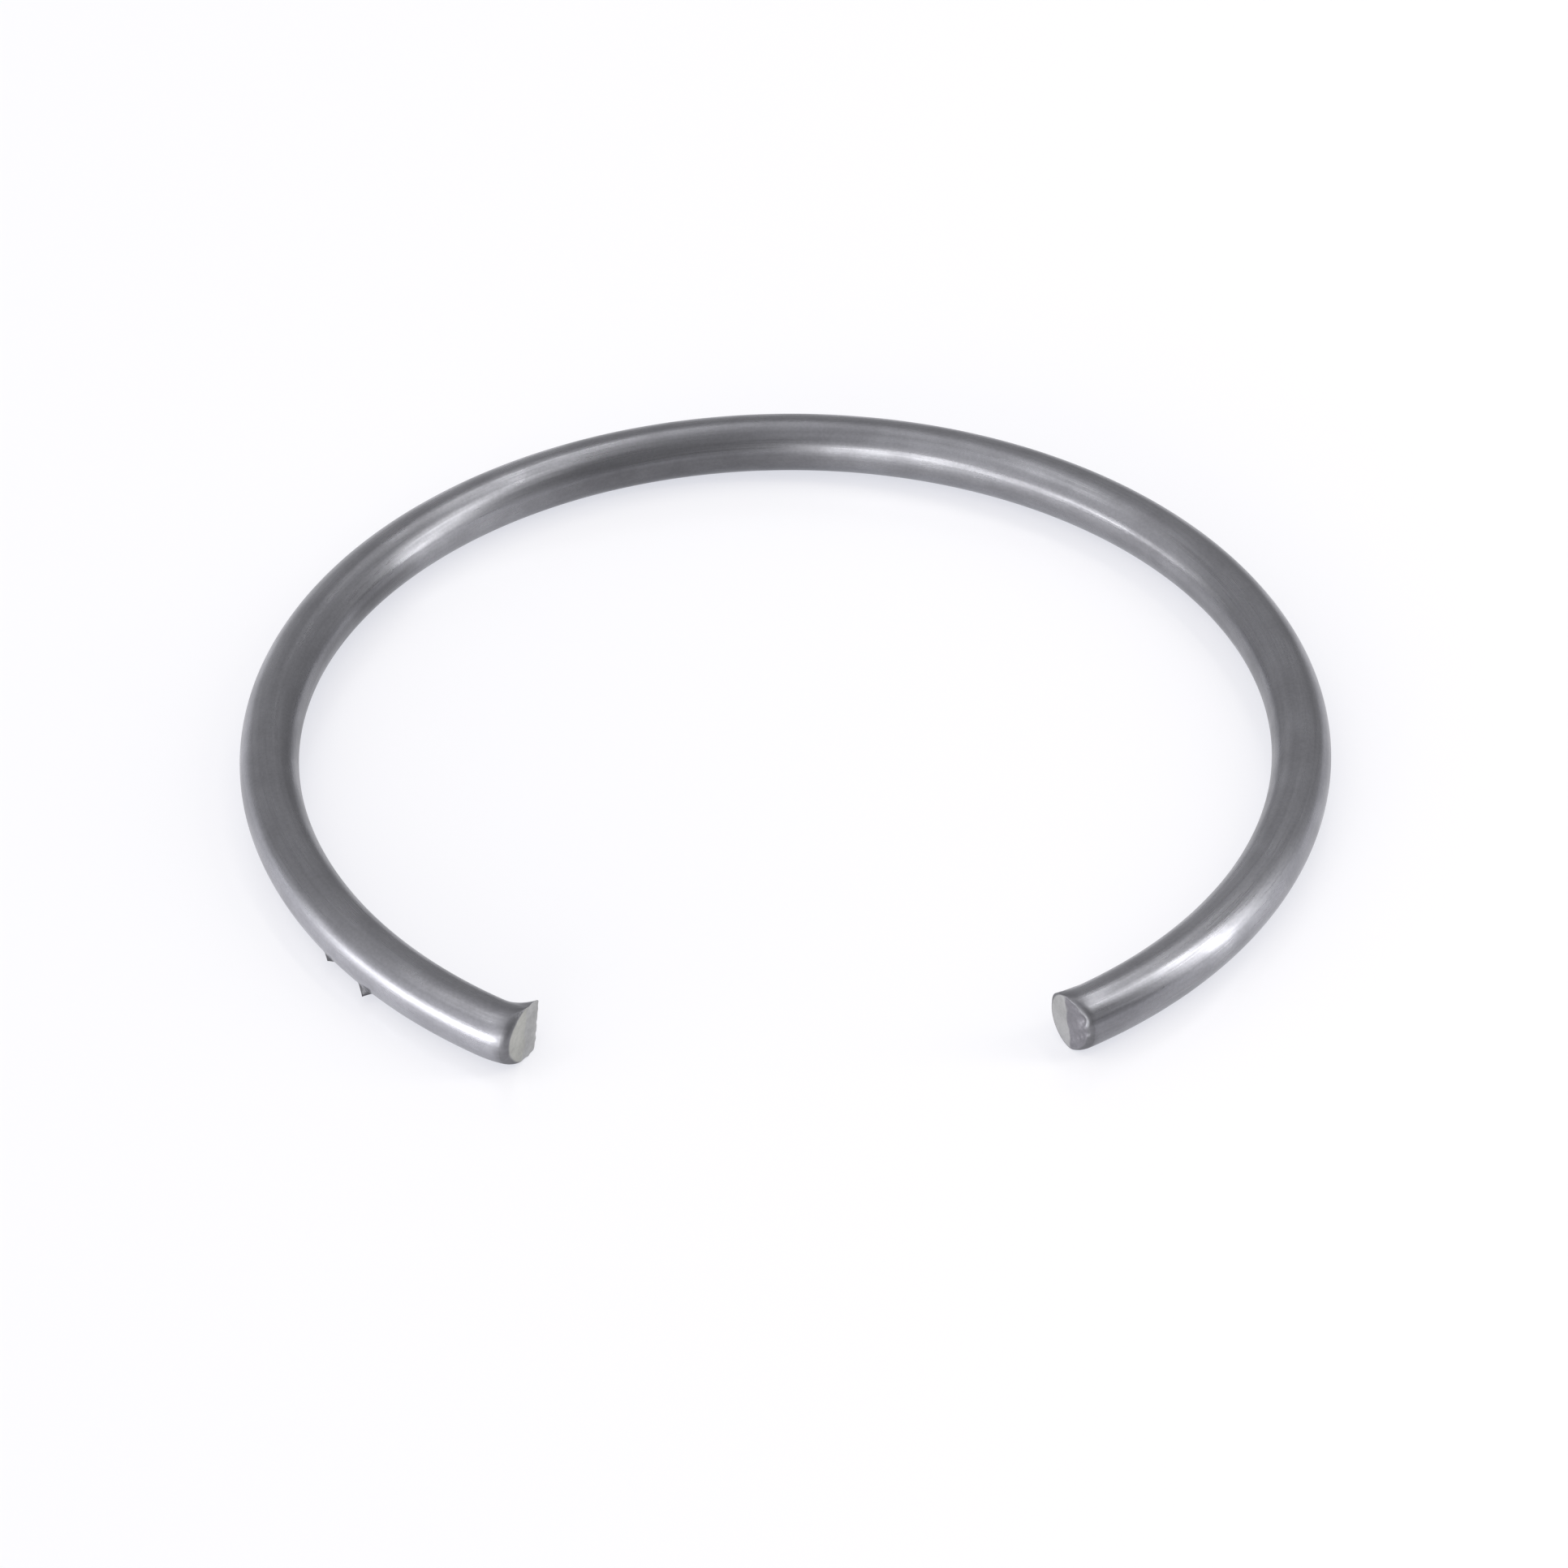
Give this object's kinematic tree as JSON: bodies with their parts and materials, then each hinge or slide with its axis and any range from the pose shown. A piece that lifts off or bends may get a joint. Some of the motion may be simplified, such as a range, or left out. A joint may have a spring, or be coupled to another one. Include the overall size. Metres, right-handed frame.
{
  "type": "piston pin circlip",
  "caption": "Open ring of round spring wire that snaps into a groove in a piston's pin bore and keeps the pin in place.",
  "frame": {"origin": "centre of the ring, in the mid plane of the wire", "axes": "+Z along the pin bore's axis, square to the ring; the ring's mouth opens towards -Y; the ring lies flat on z = -0.6 mm"},
  "size_m": [0.022, 0.0205, 0.0012],
  "materials": {
    "spring_steel": "dark satin hard-drawn wire, with paler sheared ends"
  },
  "bodies": {
    "root": {"circlip": "spring_steel"}
  },
  "joints": []
}
